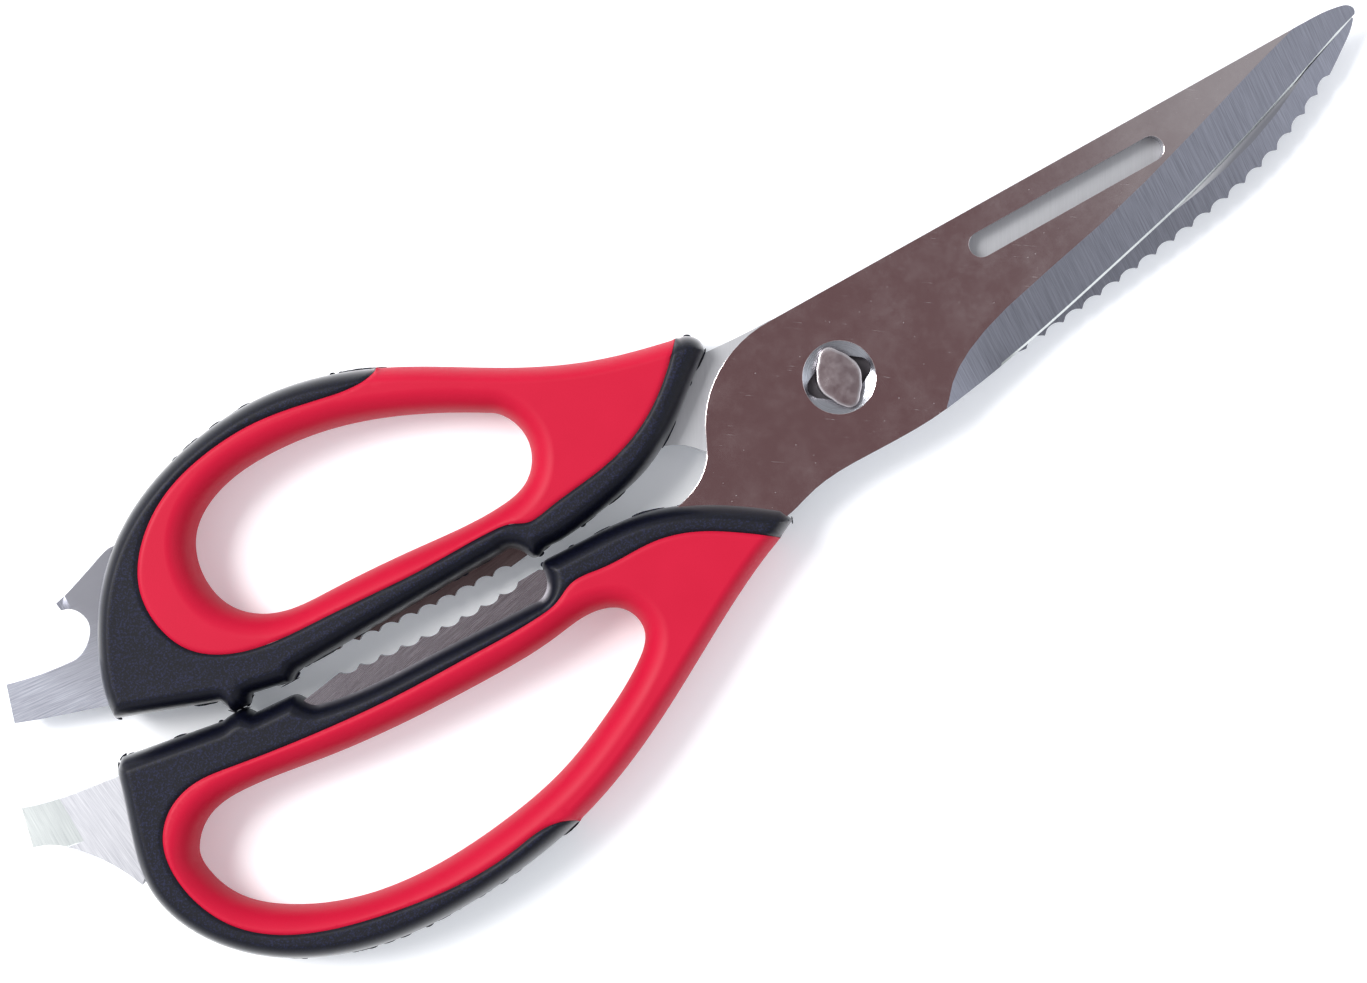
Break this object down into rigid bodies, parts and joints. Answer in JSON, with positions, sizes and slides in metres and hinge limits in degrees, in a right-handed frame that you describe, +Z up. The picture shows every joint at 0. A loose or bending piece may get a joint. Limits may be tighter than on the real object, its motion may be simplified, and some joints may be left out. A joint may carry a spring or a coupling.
{
  "type": "poultry shears",
  "caption": "Take-apart poultry shears with a slotted upper blade, a scaler-backed lower blade, a toothed jaw between two-colour loop handles, and opener tools on the tangs.",
  "frame": {"origin": "on the surface that the closed shears lie on, under the centre of their bounding box", "axes": "+X along the closed blades to the tips, +Z up through the upper (front) blade, +Y towards the handle that carries the lower (rear) blade; the pivot axis is along Z"},
  "size_m": [0.2352, 0.082, 0.0124],
  "materials": {
    "polished_steel": "mirror polished face, ground bevels",
    "satin_steel": "satin, brushed",
    "stud_steel": "turned, satin",
    "black_moulding": "fine textured moulding",
    "red_grip": "soft matte moulding"
  },
  "bodies": {
    "rear_half": {"rear_blade": "satin_steel", "pivot_stud": "stud_steel", "rear_handle": "black_moulding", "rear_grip": "red_grip"},
    "front_half": {"front_blade": "polished_steel", "front_handle": "black_moulding", "front_grip": "red_grip"}
  },
  "joints": [
    {"name": "pivot", "type": "hinge", "parent": "rear_half", "child": "front_half", "pos_m": [0.02275, 0.00075, 0.0062], "axis": [0, 0, 1], "range_deg": [0, 90]}
  ]
}
